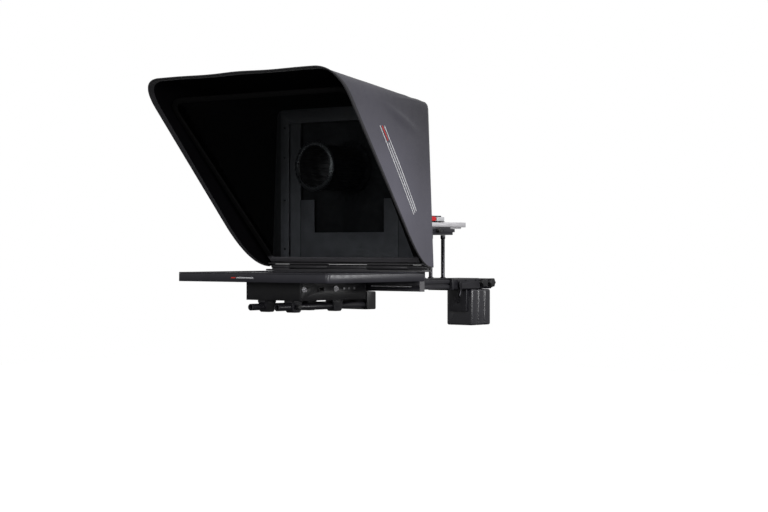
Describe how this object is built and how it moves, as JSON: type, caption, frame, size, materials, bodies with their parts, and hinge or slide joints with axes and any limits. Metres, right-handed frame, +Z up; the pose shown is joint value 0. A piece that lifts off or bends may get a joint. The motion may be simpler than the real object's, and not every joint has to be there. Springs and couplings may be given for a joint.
{
  "type": "teleprompter",
  "caption": "Studio teleprompter: face-up monitor under a fabric hood with beam-splitter glass, on a camera rail with riser and counterweights.",
  "frame": {"origin": "centre of the camera rail's underside, where it sits on a support head", "axes": "+Z up, +Y back towards the camera, -Y towards the reader, +X to the right seen from behind the reader's side"},
  "size_m": [0.728, 1.1914, 0.725],
  "materials": {
    "black_metal": "satin black anodised",
    "charcoal_metal": "fine-texture charcoal powder coat",
    "dark_steel": "dark blued steel",
    "bright_aluminium": "satin clear anodised",
    "black_plastic": "moulded matt",
    "grey_plastic": "moulded satin",
    "red_plastic": "moulded gloss",
    "hood_fabric": "matt woven laminate",
    "black_fabric": "light-absorbing black cloth",
    "grey_panel": "matt panel",
    "screen_glass": "glossy black screen",
    "beam_splitter": "part-silvered clear glass",
    "circuit_board": "solder-masked board"
  },
  "bodies": {
    "root": {"main_rail": "black_metal", "rod_block": "black_metal", "front_rod_left": "black_metal", "front_rod_right": "black_metal"},
    "prompter": {"monitor_shell": "charcoal_metal", "monitor_bezel": "charcoal_metal", "lcd_panel": "screen_glass", "electronics_box": "black_metal", "controller_board": "circuit_board", "sdi_connector_1": "bright_aluminium", "sdi_connector_2": "bright_aluminium", "power_socket": "black_plastic", "rod_clamp_front_left": "black_metal", "rod_clamp_front_right": "black_metal", "rod_clamp_rear_left": "black_metal", "rod_clamp_rear_right": "black_metal", "cross_beam": "black_metal", "hinge_base": "charcoal_metal", "hinge_pin": "dark_steel"},
    "clamp_knob_left": {"clamp_knob_left": "black_plastic"},
    "clamp_knob_right": {"clamp_knob_right": "black_plastic"},
    "menu_button_1": {"menu_button_1": "grey_plastic"},
    "menu_button_2": {"menu_button_2": "grey_plastic"},
    "menu_button_3": {"menu_button_3": "grey_plastic"},
    "hood": {"hood_side_left": "hood_fabric", "hood_side_right": "hood_fabric", "hood_top": "hood_fabric", "rear_panel": "grey_panel", "rear_wing_left": "grey_panel", "rear_wing_right": "grey_panel", "wall_frame": "grey_panel", "hood_sill": "charcoal_metal", "glass_frame": "black_metal", "beam_splitter_glass": "beam_splitter", "lens_curtain": "black_fabric", "lens_ring": "black_plastic", "camera_sock": "black_fabric"},
    "riser": {"riser_foot": "black_metal", "riser_post_front_left": "dark_steel", "riser_post_front_right": "dark_steel", "riser_post_rear_left": "dark_steel", "riser_post_rear_right": "dark_steel", "riser_top_plate": "charcoal_metal"},
    "guide_knob": {"guide_knob": "black_plastic"},
    "camera_plate": {"camera_plate": "bright_aluminium", "quick_release_base": "black_metal", "release_catch": "grey_plastic"},
    "release_lever": {"release_lever": "red_plastic"},
    "counterweight": {"weight_sleeve": "black_metal", "weight_bar": "black_metal", "bar_clamp_1": "black_metal", "bar_clamp_2": "black_metal", "weight_slab_1": "dark_steel", "weight_slab_2": "dark_steel", "weight_slab_3": "dark_steel", "weight_bracket": "black_metal"},
    "rail_lever": {"rail_lever": "dark_steel"},
    "bar_knob_1": {"bar_knob_1": "black_plastic"},
    "bar_knob_2": {"bar_knob_2": "black_plastic"},
    "weight_bolt": {"weight_bolt": "dark_steel"}
  },
  "joints": [
    {"name": "prompter_slide", "type": "slide", "parent": "root", "child": "prompter", "axis": [0, 1, 0], "range_m": [-0.04, 0.008]},
    {"name": "clamp_knob_left_turn", "type": "hinge", "parent": "prompter", "child": "clamp_knob_left", "pos_m": [-0.0643, -0.528, -0.038], "axis": [-1, 0, 0], "continuous": true},
    {"name": "clamp_knob_right_turn", "type": "hinge", "parent": "prompter", "child": "clamp_knob_right", "pos_m": [0.0643, -0.528, -0.038], "axis": [1, 0, 0], "continuous": true},
    {"name": "menu_button_1_press", "type": "slide", "parent": "prompter", "child": "menu_button_1", "axis": [-1, 0, 0], "range_m": [0, 0.0012], "stiffness_N_per_m": 400},
    {"name": "menu_button_2_press", "type": "slide", "parent": "prompter", "child": "menu_button_2", "axis": [-1, 0, 0], "range_m": [0, 0.0012], "stiffness_N_per_m": 400},
    {"name": "menu_button_3_press", "type": "slide", "parent": "prompter", "child": "menu_button_3", "axis": [-1, 0, 0], "range_m": [0, 0.0012], "stiffness_N_per_m": 400},
    {"name": "hood_tilt", "type": "hinge", "parent": "prompter", "child": "hood", "pos_m": [0, -0.232, 0.0725], "axis": [-1, 0, 0], "range_deg": [-3, 10]},
    {"name": "riser_slide", "type": "slide", "parent": "root", "child": "riser", "axis": [0, 1, 0], "range_m": [-0.08, 0]},
    {"name": "guide_knob_turn", "type": "hinge", "parent": "riser", "child": "guide_knob", "pos_m": [0.0403, 0.15, 0.182], "axis": [1, 0, 0], "continuous": true},
    {"name": "plate_slide", "type": "slide", "parent": "riser", "child": "camera_plate", "axis": [0, 1, 0], "range_m": [-0.06, 0.05]},
    {"name": "release_lever_swing", "type": "hinge", "parent": "camera_plate", "child": "release_lever", "pos_m": [0.029, 0.12, 0.218], "axis": [1, 0, 0], "range_deg": [0, 75]},
    {"name": "weight_slide", "type": "slide", "parent": "root", "child": "counterweight", "axis": [0, 1, 0], "range_m": [0, 0.06]},
    {"name": "rail_lever_swing", "type": "hinge", "parent": "counterweight", "child": "rail_lever", "pos_m": [0.0463, 0.254, 0.015], "axis": [1, 0, 0], "range_deg": [-25, 60]},
    {"name": "bar_knob_1_turn", "type": "hinge", "parent": "counterweight", "child": "bar_knob_1", "pos_m": [0.0363, 0.389, 0.017], "axis": [1, 0, 0], "continuous": true},
    {"name": "bar_knob_2_turn", "type": "hinge", "parent": "counterweight", "child": "bar_knob_2", "pos_m": [0.0363, 0.432, 0.017], "axis": [1, 0, 0], "continuous": true},
    {"name": "weight_bolt_turn", "type": "hinge", "parent": "counterweight", "child": "weight_bolt", "pos_m": [0, 0.4182, -0.042], "axis": [0, 1, 0], "continuous": true}
  ]
}
